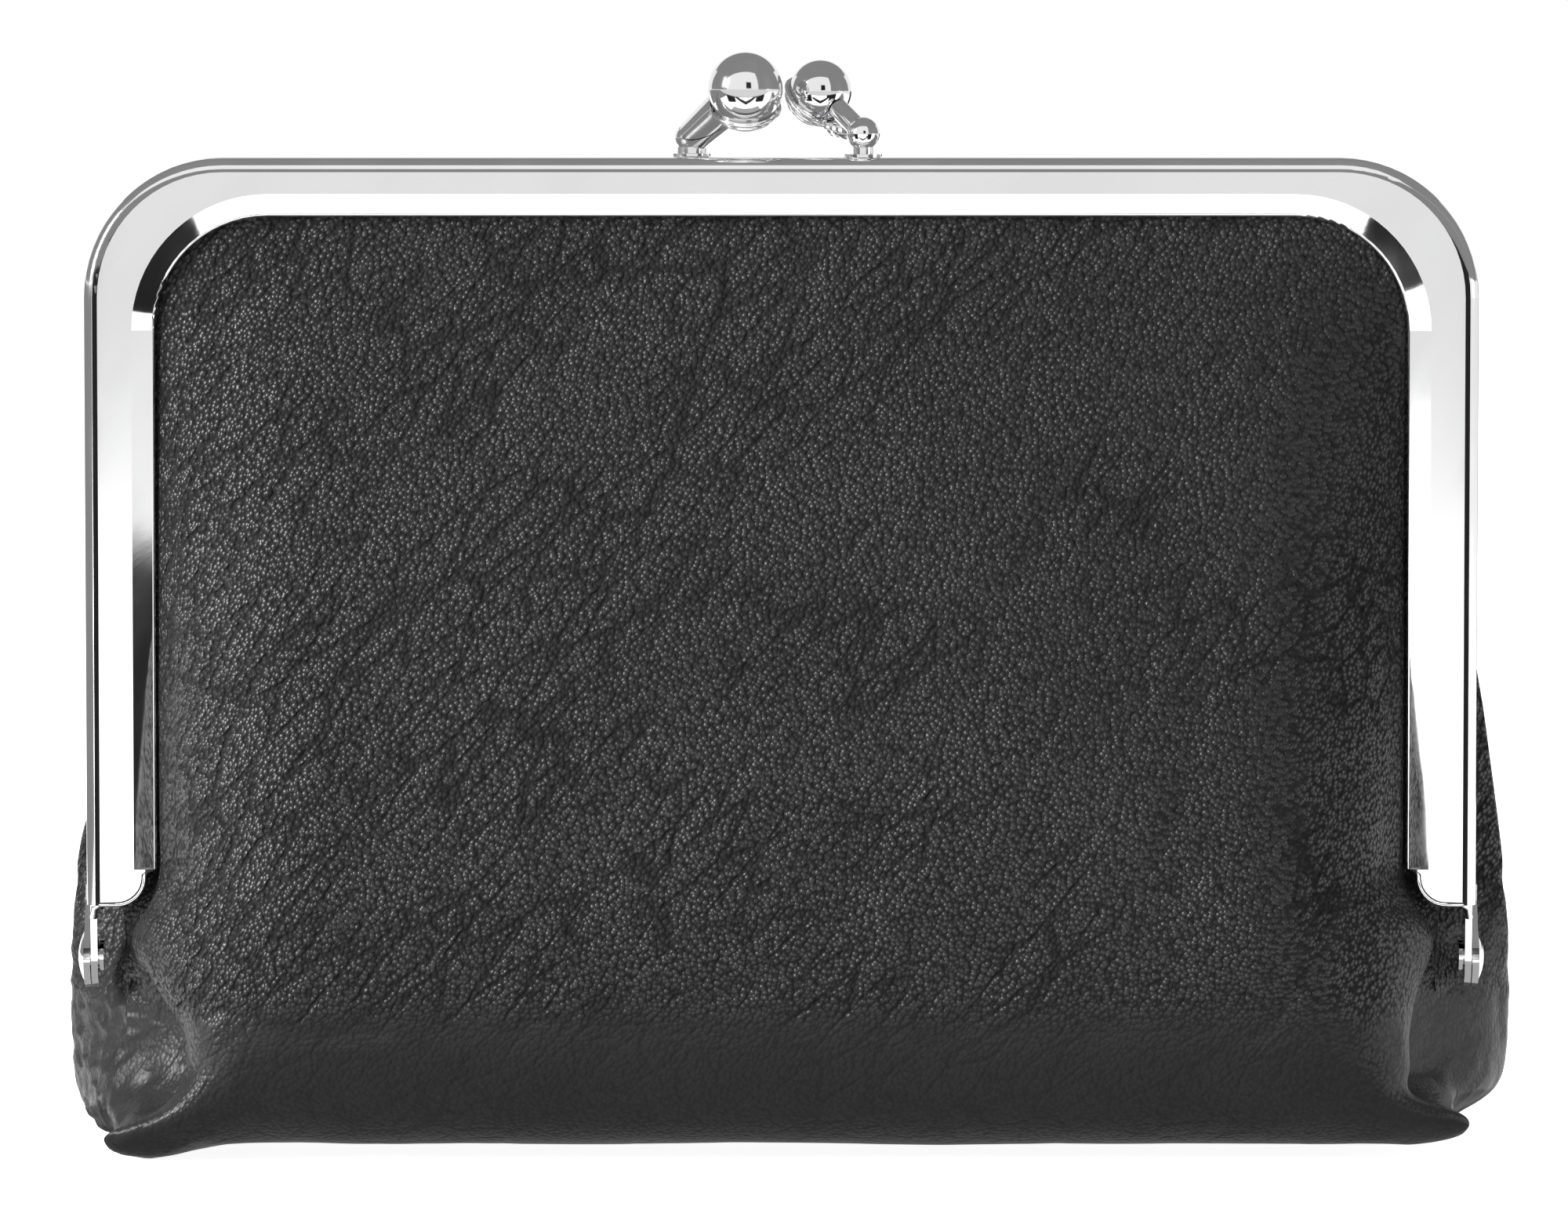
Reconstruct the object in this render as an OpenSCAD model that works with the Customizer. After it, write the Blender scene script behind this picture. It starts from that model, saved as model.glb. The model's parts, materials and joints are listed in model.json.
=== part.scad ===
// Small leather cosmetic bag in a hinged metal frame that closes with two crossing balls.
// Millimetres, +Z up, front towards -Y. The origin lies under the middle of the hinge line,
// on the plane that the bag stands on.

/* [Frame] */
// Outer width of the frame
frame_w = 127; // [110:1:150]
// Height of the frame's top edge above the hinge line
frame_h = 73.3; // [62:0.1:90]
// Outer radius of the frame's top corners
corner_r = 12.7; // [11:0.1:16]
// Radius of the opening's top corners
opening_r = 10.5; // [9.5:0.1:13]
// Width of the frame's face along the top
face_top = 5.2; // [4.6:0.1:6.5]
// Width of the frame's face down the sides
face_side = 6.3; // [5.8:0.1:7.5]
// Depth of one frame half, front to back
channel_depth = 4.5; // [4:0.1:5]
// Thickness of the frame's sheet metal
sheet_t = 0.6; // [0.5:0.05:0.7]
// Radius of the frame's rolled outer edge
edge_r = 1.3; // [1:0.1:1.6]
// Radius of the rolled lip round the opening
lip_r = 0.36; // [0.3:0.02:0.4]
// Width of the face's inner band, which is turned back towards the bag
band_w = 1.9; // [1.5:0.1:2.2]
// How far the band's inner edge lies behind the face
band_drop = 0.85; // [0.5:0.05:1]
// Width of the channel's wall beside the parting plane
back_wall_w = 4.4; // [3.8:0.1:5]
// Gap between the closed frame halves
parting_gap = 0.2; // [0.1:0.05:0.4]

/* [Frame ends] */
// Height of the channel's lower end above the hinge line
end_rise = 5.1; // [4.8:0.1:6]
// Height of the notch above the channel's lower end
notch_rise = 3.3; // [3:0.1:4]
// How far the face steps back at the notch
notch_step = 0.9; // [0.8:0.05:1.2]
// Radius of the face's lower corner
end_r = 2.6; // [2:0.1:2.8]

/* [Hinge] */
// Height of the hinge line above the ground
hinge_z = 17.7; // [17:0.1:22]
// Radius of the round end of each ear
ear_r = 2.85; // [2.5:0.05:3]
// Gap between the two ears on a rivet
ear_gap = 0.1; // [0.06:0.01:0.15]
// Radius of the rivet's shank
rivet_r = 1; // [0.8:0.05:1.2]
// Radial clearance of the rivet in the ears
rivet_clear = 0.05; // [0.02:0.01:0.08]
// Radius of the rivet's outer head
rivet_head_r = 2.4; // [2:0.05:2.5]
// Height of the rivet's outer head
rivet_head_h = 0.6; // [0.4:0.05:0.7]
// Radius of the rivet's inner head
rivet_tail_r = 1.55; // [1.4:0.05:1.8]
// Height of the rivet's inner head
rivet_tail_h = 0.4; // [0.3:0.05:0.5]

/* [Clasp] */
// Radius of the rear half's ball, the large one
big_ball_r = 3.4; // [3:0.05:3.6]
// Radius of the front half's ball
small_ball_r = 2.85; // [2.7:0.05:3.1]
// Thickness of the cups that hold the balls
cup_t = 0.3; // [0.24:0.02:0.4]
// Gap left between the two balls as they pass
kiss_gap = 0.12; // [0.06:0.02:0.3]
// Where the balls meet, to the right of the middle
kiss_x = 0.2; // [-0.5:0.1:0.5]
// Height of the big ball's centre above the frame
big_ball_rise = 6.2; // [5.8:0.1:6.8]
// Height of the small ball's centre above the frame
small_ball_rise = 6; // [5.6:0.1:6.6]
// How far each ball's centre stands past the parting plane
ball_cross = 2; // [1.6:0.1:2.2]
// Distance of the rear arm's foot from the middle
rear_foot_x = 8.2; // [7.8:0.1:9]
// Radius of the rear arm at its foot
rear_arm_r = 1.55; // [1.4:0.05:1.7]
// Radius of the bead at the foot of the front arm
bead_r = 1.52; // [1.4:0.05:1.7]
// Height of the bead's centre above the frame
bead_rise = 2.15; // [2:0.05:2.4]
// Distance of the bead from the middle
bead_x = 7.45; // [7:0.05:8]
// Radius of the front arm's finger, which rests on the ball
front_arm_r = 0.95; // [0.8:0.05:1.1]
// Radius of the ringed neck that carries the front half's cup
neck_r = 0.75; // [0.65:0.05:0.85]
// Radius of the flange at each arm's foot
flange_r = 1.75; // [1.6:0.05:1.8]
// Height of that flange
flange_h = 0.3; // [0.2:0.05:0.4]

/* [Leather] */
// Half the depth of the bag, front to back
half_depth = 17; // [15.5:0.5:17.2]
// Thickness of the leather
leather_t = 1; // [0.8:0.05:1.1]
// Thickness of the lining
lining_t = 0.4; // [0.3:0.05:0.5]
// Gap between layers
layer_gap = 0.06; // [0.04:0.01:0.1]
// Gap between the hinged leather and the base that it slides over
slide_gap = 0.6; // [0.5:0.05:0.8]
// Width of the bag's rounded side at the hinge line, measured across the bag
side_round = 9; // [8:0.5:11]
// Width of the panels' rounded side higher up
panel_round = 14; // [11:0.5:16]
// Height above the frame's ends at which the panels are fully crowned
crown_rise = 12; // [9:1:20]
// How far the rear leather swells out past the front leather
lobe_reach = 10.8; // [8:0.2:11.6]
// Height above the hinge line up to which the swelling is full
lobe_full = 9; // [4:0.5:10]
// Height over which it dies out above that
lobe_fade = 15; // [10:1:20]
// Angle below the hinge line that the hinged leather reaches
skirt_angle = 25; // [15:1:25]
// Diameter of the paper cord that wedges the leather in the channel
cord_d = 1.2; // [1:0.05:1.3]

/* [Corner folds] */
// Distance of the boxed corner's tips inside the frame's outer edge
fold_in = 3.1; // [1.5:0.1:4]
// Distance of those tips in front of and behind the middle
fold_y = 9.6; // [8:0.1:10]
// Radius of the tips
fold_tip_r = 1.3; // [1.1:0.05:1.4]
// Length of the fold, measured inwards from its tips
fold_len = 11.6; // [10.5:0.1:12.5]
// Height of the fold's crest at the end of the bag
fold_rise = 8; // [5:0.1:8.5]

/* [Hidden] */
$fn = 64;
unit = 1;
overrun = 0.2 * unit;

chrome = [0.78, 0.79, 0.8];
black_leather = [0.16, 0.16, 0.165];
black_cloth = [0.1, 0.1, 0.11];
brown_paper = [0.72, 0.66, 0.55];

// Frame: y is measured back from the front half's face, heights from the ground
half_w = frame_w / 2;
half_gap = parting_gap / 2;
face_y = -(half_gap + channel_depth);
wall_y = face_y + edge_r;
spine_y = half_gap + channel_depth / 2;
top_z = hinge_z + frame_h;
end_z = hinge_z + end_rise;
notch_z = end_z + notch_rise;
opening_w = half_w - face_side;
opening_top = top_z - face_top;
notch_w = opening_w + notch_step;
lip_y = face_y + sheet_t / 2 + band_drop;
lip_in = lip_r / 2;
face_lap = sheet_t / 2;

// Hinge: the ears lie on either side of the middle of the channel's outer wall
ear_mid_x = half_w - sheet_t * 0.4;
front_ear_x = ear_mid_x - ear_gap / 2 - sheet_t;
rear_ear_x = ear_mid_x + ear_gap / 2;
ear_lap = 2.5 * sheet_t;
tail_x = front_ear_x - rivet_clear;
head_x = rear_ear_x + sheet_t + rivet_clear;

// Clasp: both balls lean across the parting plane, side by side
ball_fit = 0.02 * unit;
rib_r = cup_t * 0.6;
big_ball = [kiss_x - big_ball_r - kiss_gap / 2, -ball_cross, top_z + big_ball_rise];
small_ball = [kiss_x + small_ball_r + cup_t + rib_r + kiss_gap / 2, ball_cross, top_z + small_ball_rise];
heel = [-rear_foot_x, spine_y, top_z + rear_arm_r * 1.1];
bead = [bead_x, -spine_y, top_z + bead_rise];
flange_y = half_gap + flange_r;

// Ways that the cups' bottoms face, and how far round each cup reaches
big_cup_way = [0, 0.5, -0.866];
big_cup_angle = 58;
small_cup_way = [-0.55, 0.45, -0.7];
small_cup_angle = 66;
neck_way = [0.12, 0.3, -0.946];

// Channel: the cord lies in the middle of the wall, and the leather's edge meets it
cord_in = sheet_t + (back_wall_w - cord_d) / 2;
margin_in = cord_in + cord_d / 2 + 2 * layer_gap;
margin_w = half_w - margin_in;
margin_top = top_z - margin_in;
margin_r = corner_r - margin_in;

// Leather: rows of points across the bag, from one channel to the other
margin_y = half_gap + channel_depth - sheet_t - band_drop - 2 * layer_gap;
low_margin_y = leather_t + lining_t + half_gap + 10 * layer_gap;
lip_w = opening_w - lip_in - 2 * layer_gap;
bulge_h = opening_top - hinge_z;
bulge_curve = 1.9;
low_w_share = 0.985;
end_drop = 0.5 * unit;
base_gap = leather_t + slide_gap;
base_bottom = hinge_z - half_depth + base_gap;
flat_w = lip_w - side_round;
fold_x = half_w - fold_in;

// Angles round the panel's side, and how much of the rear swelling each one takes
side_angles = [90, 68, 52, 38, 26, 14, 5, 0];
lobe_shares = [0, 0.2, 0.7, 1, 0.88, 0.45, 0, 0];
lobe_angle_shares = [0, 0, 0.4, 1, 1, 1, 1, 1];
lobe_extra_angle = 3;

// The panel's crown: places from the middle to the side rounding, and the depth that each one loses
flat_shares = [0, 0.4, 0.75];
crown_shares = [0, 0.008, 0.032];
side_crown_share = 0.065;
skirt_shares = [1, 0.5, 0];
rise_shares = [0.1, 0.19, 0.31, 0.46, 0.61, 0.75, 0.86, 0.94, 0.985];

module across(side) {
    mirror([side == "rear" ? 1 : 0, 0, 0])
        mirror([0, side == "rear" ? 1 : 0, 0])
            children();
}

module both_sides() {
    for (side = [0, 1])
        mirror([side, 0, 0])
            children();
}

// A round-cornered arch, drawn in the plane of the frame
module arch(w, top, r, bottom) {
    translate([-w, bottom])
        square([2 * w, top - r - bottom]);
    translate([r - w, bottom])
        square([2 * (w - r), top - bottom]);
    both_sides()
        translate([w - r, top - r])
            circle(r);
}

// Sweeps a profile round an arch: x is 0 at the arch's line and falls inwards, y is the depth
module around_arch(w, top, r, bottom) {
    both_sides() {
        translate([w, 0, bottom])
            linear_extrude(top - r - bottom)
                children();
        translate([w - r, 0, top - r])
            rotate([-90, 0, 0])
                rotate([0, 0, -90])
                    rotate_extrude(angle = 90)
                        translate([r, 0])
                            children();
    }
    translate([w - r, 0, top])
        rotate([0, -90, 0])
            linear_extrude(2 * (w - r))
                children();
}

// Frame half, drawn as the front one

module rim_profile() {
    translate([-sheet_t, wall_y])
        square([sheet_t, channel_depth - edge_r]);
    translate([-back_wall_w, -half_gap - sheet_t])
        square([back_wall_w, sheet_t]);
    translate([-edge_r - face_lap, face_y])
        square([face_lap, sheet_t]);
    intersection() {
        translate([-edge_r, wall_y])
            difference() {
                circle(edge_r);
                circle(edge_r - sheet_t);
            }
        translate([-edge_r, face_y])
            square(edge_r);
    }
}

module face_outline() {
    difference() {
        arch(half_w - edge_r, top_z - edge_r, corner_r - edge_r, end_z);
        arch(opening_w + band_w, opening_top + band_w, opening_r + band_w, notch_z);
        translate([-notch_w, end_z - overrun])
            square([2 * notch_w, notch_rise + 2 * overrun]);
        both_sides()
            difference() {
                translate([notch_w - overrun, end_z - overrun])
                    square([end_r + overrun, end_r + overrun]);
                translate([notch_w + end_r, end_z + end_r])
                    circle(end_r);
            }
    }
}

module inner_band() {
    around_arch(opening_w, opening_top, opening_r, notch_z)
        polygon([
            [0, face_y + band_drop], [band_w, face_y], [band_w + face_lap, face_y],
            [band_w + face_lap, face_y + sheet_t], [band_w, face_y + sheet_t],
            [0, face_y + band_drop + sheet_t]
        ]);
}

module lip() {
    around_arch(opening_w, opening_top, opening_r, notch_z)
        translate([lip_in, lip_y])
            circle(lip_r);
}

module ear(x) {
    translate([x, 0, hinge_z])
        rotate([90, 0, 90])
            linear_extrude(sheet_t)
                difference() {
                    union() {
                        circle(ear_r);
                        polygon([
                            [-ear_r, 0], [ear_r, 0],
                            [-half_gap, end_rise], [-half_gap, end_rise + ear_lap],
                            [wall_y, end_rise + ear_lap], [wall_y, end_rise]
                        ]);
                    }
                    circle(rivet_r + rivet_clear);
                }
}

module frame_half(ear_x) {
    around_arch(half_w, top_z, corner_r, end_z)
        rim_profile();
    translate([0, face_y + sheet_t, 0])
        rotate([90, 0, 0])
            linear_extrude(sheet_t)
                face_outline();
    inner_band();
    lip();
    both_sides()
        ear(ear_x);
}

module front_frame() {
    color(chrome)
        frame_half(front_ear_x);
}

module rear_frame() {
    color(chrome)
        across("rear")
            frame_half(rear_ear_x);
}

// Hinge rivets

module rivet() {
    dome_r = (pow(rivet_head_r, 2) + pow(rivet_head_h, 2)) / (2 * rivet_head_h);
    translate([0, 0, hinge_z])
        rotate([0, 90, 0]) {
            translate([0, 0, tail_x - rivet_tail_h])
                cylinder(h = rivet_tail_h, r = rivet_tail_r);
            translate([0, 0, tail_x - rivet_tail_h / 2])
                cylinder(h = head_x - tail_x + rivet_tail_h / 2 + rivet_head_h / 2, r = rivet_r);
            rotate_extrude()
                intersection() {
                    translate([0, head_x + rivet_head_h - dome_r])
                        circle(dome_r);
                    translate([0, head_x])
                        square([rivet_head_r, rivet_head_h]);
                }
        }
}

module left_hinge_rivet() {
    color(chrome)
        mirror([1, 0, 0])
            rivet();
}

module right_hinge_rivet() {
    color(chrome)
        rivet();
}

// Clasp: each ball sits in a cup on an arm that leans over to the other half

module along(from, to) {
    d = to - from;
    translate(from)
        rotate([0, acos(d.z / norm(d)), atan2(d.y, d.x)])
            children();
}

// A ribbed cup round a ball, whose bottom faces a given way
module cup(ball, ball_r, way, rim_angle, rib_angles) {
    along(ball, ball + way)
        rotate_extrude() {
            intersection() {
                difference() {
                    circle(ball_r + cup_t);
                    circle(ball_r + ball_fit);
                }
                translate([0, ball_r * cos(rim_angle)])
                    square(ball_r + 2 * cup_t);
            }
            for (a = rib_angles)
                translate([(ball_r + cup_t) * sin(a), (ball_r + cup_t) * cos(a)])
                    circle(rib_r);
        }
}

module foot_flange(x, y) {
    translate([x, y, top_z])
        cylinder(h = flange_h, r = flange_r);
}

module rear_clasp_arm() {
    reach = norm(big_ball - heel);
    color(chrome) {
        foot_flange(heel.x, flange_y);
        translate([heel.x, heel.y, top_z])
            cylinder(h = heel.z - top_z, r = rear_arm_r * 0.85);
        difference() {
            union() {
                translate(heel)
                    sphere(rear_arm_r);
                along(heel, big_ball)
                    cylinder(h = reach - big_ball_r * 0.8, r1 = rear_arm_r * 0.98, r2 = rear_arm_r * 1.2);
            }
            translate(big_ball)
                sphere(big_ball_r + cup_t / 2);
        }
        cup(big_ball, big_ball_r, big_cup_way, big_cup_angle, [26, 42, 57]);
    }
}

module rear_clasp_ball() {
    color(chrome)
        translate(big_ball)
            sphere(big_ball_r);
}

module front_clasp_arm() {
    joint = small_ball + (small_ball_r + cup_t) * neck_way;
    neck = norm(joint - bead);
    color(chrome) {
        foot_flange(bead.x, -flange_y);
        translate([bead.x, bead.y, top_z])
            cylinder(h = bead_rise, r = bead_r * 0.6);
        translate(bead)
            sphere(bead_r);
        difference() {
            union() {
                along(bead, small_ball)
                    cylinder(h = norm(small_ball - bead) - small_ball_r * 0.8, r = front_arm_r);
                along(bead, joint) {
                    cylinder(h = neck + neck_r * 0.4, r = neck_r);
                    for (k = [0:2])
                        translate([0, 0, neck * (0.42 + 0.16 * k)])
                            cylinder(h = 2 * rib_r, r = neck_r + rib_r);
                }
            }
            translate(small_ball)
                sphere(small_ball_r + cup_t / 2);
        }
        cup(small_ball, small_ball_r, small_cup_way, small_cup_angle, [34, 49, 64]);
    }
}

module front_clasp_ball() {
    color(chrome)
        translate(small_ball)
            sphere(small_ball_r);
}

// Paper cord crimped in behind the leather's edge

module channel_cord() {
    color(brown_paper)
        around_arch(half_w, top_z, corner_r, end_z + end_drop)
            translate([-cord_in, -(half_gap + sheet_t + layer_gap + cord_d / 2)])
                circle(d = cord_d);
}

module front_channel_cord() {
    channel_cord();
}

module rear_channel_cord() {
    across("rear")
        channel_cord();
}

// Hinged leather: a half-row is a list of [x, depth] from the middle of the bag to its channel

function mirrored(row) = concat(
    [for (k = [len(row) - 1:-1:1]) [-row[k].x, row[k].y]],
    row
);

function half_row(z, lip, margin, low_y, full_y, lobe) =
    let (
        crown = min(1, max(0, z - end_z) / crown_rise),
        round_w = side_round + crown * (panel_round - side_round),
        rise = full_y - low_y
    )
    concat(
        [for (k = [0:len(flat_shares) - 1])
            [flat_shares[k] * (lip - round_w), low_y + rise * (1 - crown * crown_shares[k])]],
        [for (k = [0:len(side_angles) - 1]) [
            lip - round_w * (1 - cos(side_angles[k])) + lobe * lobe_shares[k],
            low_y + rise * (1 - crown * side_crown_share) * sin(side_angles[k])
        ]],
        [[margin, low_y]]
    );

function turned(v) = [-v.y, v.x] / norm(v);

function mitre(a, b) = (a + b) / (1 + a * b);

// Moves a row inwards by a thickness, square to the row in plan
function inset_row(row, d) = [
    for (k = [0:len(row) - 1])
        let (
            before = turned(row[max(k, 1)] - row[max(k, 1) - 1]),
            after = turned(row[min(k, len(row) - 2) + 1] - row[min(k, len(row) - 2)])
        )
        row[k] - d * mitre(before, after)
];

// The arch that the leather follows in the channel: half-width at a height, for a corner radius
function arch_w(z, w, top, r) =
    z <= top - r ? w : w - r + sqrt(max(0, r * r - pow(z - top + r, 2)));

function bulge_y(z) =
    margin_y + (half_depth - margin_y) * (1 - pow(min(1, (z - hinge_z) / bulge_h), bulge_curve));

function lobe_at(z, swell) =
    let (faded = min(1, max(0, z - hinge_z - lobe_full) / lobe_fade))
    swell * lobe_reach * (1 + cos(180 * faded)) / 2;

function low_row(share, swell) =
    let (z = hinge_z + share * end_rise)
    half_row(
        z,
        lip_w,
        lip_w * low_w_share + (margin_w - lip_w * low_w_share) * (0.5 + share / 2),
        low_margin_y,
        bulge_y(z),
        lobe_at(z, swell)
    );

function channel_row(z, swell) = half_row(
    z,
    arch_w(z, lip_w, opening_top, opening_r),
    arch_w(z, margin_w, margin_top, margin_r),
    margin_y,
    bulge_y(z),
    lobe_at(z, swell)
);

function top_row(z) =
    let (w = arch_w(z, margin_w, margin_top, margin_r))
    concat(
        [for (s = flat_shares) [s * (w - panel_round), margin_y]],
        [for (a = side_angles) [w - panel_round * (1 - 0.8 * cos(a)), margin_y]],
        [[w, margin_y]]
    );

function level(row, z, d) = [for (p = inset_row(mirrored(row), d)) [p.x, p.y, z]];

// Turns the hinge-line row down about the hinge line, further where the sides swell
function turned_down(row, share, swell, d) =
    let (
        side_share = concat([for (s = flat_shares) 0], lobe_angle_shares, [1]),
        full_share = [for (p = mirrored([for (s = side_share) [0, s]])) p.y],
        flat_row = inset_row(mirrored(row), d)
    )
    [for (k = [0:len(flat_row) - 1])
        let (a = share * (skirt_angle + swell * lobe_extra_angle * full_share[k]))
        [flat_row[k].x, flat_row[k].y * cos(a), hinge_z - flat_row[k].y * sin(a)]];

function wall_levels() = concat(
    [for (s = rise_shares) end_z + end_drop + s * (opening_top - end_z - end_drop)],
    [opening_top]
);

function wall_rows(d, swell, first_share) = let (top = (opening_top + 9 * margin_top) / 10) concat(
    first_share == 0 ? [for (s = skirt_shares) turned_down(low_row(0, swell), s, swell, d)] : [],
    [level(low_row(first_share == 0 ? 0.86 : first_share, swell), hinge_z + end_rise * 0.86, d)],
    [level(channel_row(end_z + end_drop, swell), end_z + end_drop, d)],
    [for (z = wall_levels()) level(channel_row(z, swell), z, d)],
    [level(top_row(top), top, d)]
);

// A closed sheet between two like grids of points, each a list of rows from bottom to top
module sheet(outer, inner) {
    rows = len(outer);
    cols = len(outer[0]);
    points = concat([for (row = outer) each row], [for (row = inner) each row]);
    shift = rows * cols;
    function at(r, c) = r * cols + c;
    function quad(a, b, c, d) = [[a, b, c], [a, c, d]];
    skins = [
        for (r = [0:rows - 2], c = [0:cols - 2])
            each concat(
                quad(at(r, c), at(r, c + 1), at(r + 1, c + 1), at(r + 1, c)),
                quad(
                    shift + at(r, c), shift + at(r + 1, c),
                    shift + at(r + 1, c + 1), shift + at(r, c + 1)
                )
            )
    ];
    ends = [
        for (c = [0:cols - 2], last = [rows - 1])
            each concat(
                quad(at(0, c + 1), at(0, c), shift + at(0, c), shift + at(0, c + 1)),
                quad(
                    at(last, c), at(last, c + 1),
                    shift + at(last, c + 1), shift + at(last, c)
                )
            )
    ];
    sides = [
        for (r = [0:rows - 2], last = [cols - 1])
            each concat(
                quad(at(r, 0), at(r + 1, 0), shift + at(r + 1, 0), shift + at(r, 0)),
                quad(
                    at(r + 1, last), at(r, last),
                    shift + at(r, last), shift + at(r + 1, last)
                )
            )
    ];
    polyhedron(points, concat(skins, ends, sides));
}

module hinged_leather(swell) {
    sheet(wall_rows(0, swell, 0), wall_rows(leather_t, swell, 0));
}

module hinged_lining(swell) {
    near = leather_t + 1.5 * layer_gap;
    sheet(wall_rows(near, swell, 0.86), wall_rows(near + lining_t, swell, 0.86));
}

module front_leather() {
    color(black_leather)
        mirror([0, 1, 0])
            hinged_leather(0);
}

module rear_leather() {
    color(black_leather)
        hinged_leather(1);
}

module front_lining() {
    color(black_cloth)
        mirror([0, 1, 0])
            hinged_lining(0);
}

module rear_lining() {
    color(black_cloth)
        hinged_lining(1);
}

// Base: half of a round-ended roll about the hinge line, open at the top

function roll_row(d) = concat(
    [[half_depth - d, 0]],
    [for (a = side_angles) [(half_depth - d) * sin(a), flat_w + (side_round - d) * cos(a)]]
);

module roll(d) {
    row = roll_row(d);
    polygon(concat(
        row,
        [for (k = [len(row) - 1:-1:0]) [row[k].x, -row[k].y]]
    ));
}

module base_shell(d, thickness) {
    translate([0, 0, hinge_z])
        rotate([0, 90, 0])
            rotate([0, 0, -90])
                rotate_extrude(angle = 180)
                    difference() {
                        roll(d);
                        roll(d + thickness);
                    }
}

module base_leather() {
    color(black_leather)
        base_shell(base_gap, leather_t);
}

module base_lining() {
    color(black_cloth)
        base_shell(base_gap + leather_t + layer_gap, lining_t);
}

// Boxed corner: a flat fold across each end of the bottom, which the bag stands on

module corner_fold() {
    root_r = fold_tip_r * 0.55;
    crest_r = fold_tip_r * 0.8;
    tip = [fold_x - fold_tip_r, fold_y - fold_tip_r, fold_tip_r * 0.8];
    root = [fold_x - fold_len + root_r, fold_y * 0.32, base_bottom - layer_gap - root_r];
    intersection() {
        hull() {
            for (side = [-1, 1]) {
                translate([tip.x, side * tip.y, tip.z])
                    sphere(fold_tip_r, $fn = 20);
                translate([root.x, side * root.y, root.z])
                    sphere(root_r, $fn = 16);
            }
            translate([tip.x, -fold_y * 0.6, fold_rise - crest_r])
                sphere(crest_r, $fn = 16);
        }
        translate([fold_x - fold_len - overrun, -fold_y - overrun, 0])
            cube([fold_len + 2 * overrun, 2 * (fold_y + overrun), hinge_z]);
    }
}

module left_corner_fold() {
    color(black_leather)
        mirror([1, 0, 0])
            corner_fold();
}

module right_corner_fold() {
    color(black_leather)
        corner_fold();
}

front_frame();
rear_frame();
left_hinge_rivet();
right_hinge_rivet();
front_clasp_arm();
front_clasp_ball();
rear_clasp_arm();
rear_clasp_ball();
front_channel_cord();
rear_channel_cord();
front_leather();
rear_leather();
base_leather();
front_lining();
rear_lining();
base_lining();
left_corner_fold();
right_corner_fold();
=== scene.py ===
"""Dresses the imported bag: soft leather, cloth lining, chrome, floor, light and camera.

Lengths in the tables are millimetres. A point of the leather is (half-width, depth, height): the
half-width is measured from the bag's middle, and the depth from its parting plane, front or back.
Materials and the studio are in metres.
"""

import json
import math

import bpy
import numpy as np
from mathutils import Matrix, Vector, noise


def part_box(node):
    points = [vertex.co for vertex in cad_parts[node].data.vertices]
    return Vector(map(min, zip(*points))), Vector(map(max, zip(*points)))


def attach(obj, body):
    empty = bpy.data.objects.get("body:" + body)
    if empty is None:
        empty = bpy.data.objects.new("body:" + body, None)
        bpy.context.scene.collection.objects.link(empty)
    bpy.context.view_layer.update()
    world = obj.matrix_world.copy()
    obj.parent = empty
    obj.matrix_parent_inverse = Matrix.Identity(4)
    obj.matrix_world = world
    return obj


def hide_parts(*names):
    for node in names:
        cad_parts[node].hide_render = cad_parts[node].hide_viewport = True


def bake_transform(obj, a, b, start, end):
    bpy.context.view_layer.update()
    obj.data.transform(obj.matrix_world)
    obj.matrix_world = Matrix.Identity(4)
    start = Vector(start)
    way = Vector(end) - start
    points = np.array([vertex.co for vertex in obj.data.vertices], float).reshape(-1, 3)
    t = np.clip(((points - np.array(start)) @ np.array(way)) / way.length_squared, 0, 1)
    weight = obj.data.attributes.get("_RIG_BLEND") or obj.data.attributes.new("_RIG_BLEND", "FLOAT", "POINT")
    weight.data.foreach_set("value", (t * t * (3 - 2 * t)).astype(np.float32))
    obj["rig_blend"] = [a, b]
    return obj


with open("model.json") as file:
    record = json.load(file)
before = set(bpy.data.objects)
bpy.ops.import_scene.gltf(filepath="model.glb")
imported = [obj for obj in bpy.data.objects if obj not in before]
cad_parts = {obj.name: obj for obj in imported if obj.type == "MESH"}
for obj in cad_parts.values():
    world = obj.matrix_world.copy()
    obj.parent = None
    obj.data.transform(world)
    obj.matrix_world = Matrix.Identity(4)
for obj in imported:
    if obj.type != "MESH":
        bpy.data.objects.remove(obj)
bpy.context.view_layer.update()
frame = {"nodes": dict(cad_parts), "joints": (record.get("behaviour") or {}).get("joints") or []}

MM = 0.001
JAW_SIGN = {"front": -1, "rear": 1}
SIDE_SIGN = {"left": -1, "right": 1}

# Sizes read from the frame
hinge_z = frame["joints"][0]["pos_m"][2] / MM
frame_low, frame_high = (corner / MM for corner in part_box("front_frame"))
half_w = frame_high.x
top_z = frame_high.z
face_depth = -frame_low.y

# The opening in the frame, inside its lip
FACE_SIDE = 6.3
FACE_TOP = 5.2
OPENING_R = 10.5
opening_w = half_w - FACE_SIDE
opening_top = top_z - FACE_TOP

# Leather
LEATHER_T = 1.0
LINING_T = 0.35
LAYER_GAP = 0.08
SLOT_DEPTH = 3.0
BULGE_DEPTH = 16.7
BULGE_CURVE = 1.75

# Rows from the middle of the bottom to the channel: depth and height at the bag's middle
BOTTOM_ROWS = [
    (0, 0.8), (4.2, 0.85), (8.2, 1.5), (11.4, 3.3), (13.8, 6.3),
    (15.4, 9.9), (16.3, 13.9), (16.7, 18.0), (16.7, 22.0),
]
PANEL_HEIGHTS = [26, 30, 35, 41, 48, 56, 64, 71, 76, 79.5, 82.3, 84.4, 85.4]
HINGE_DIP = 0.1
TUCK_RISE = 1.9
TUCK_SHARE = 0.995

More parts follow.
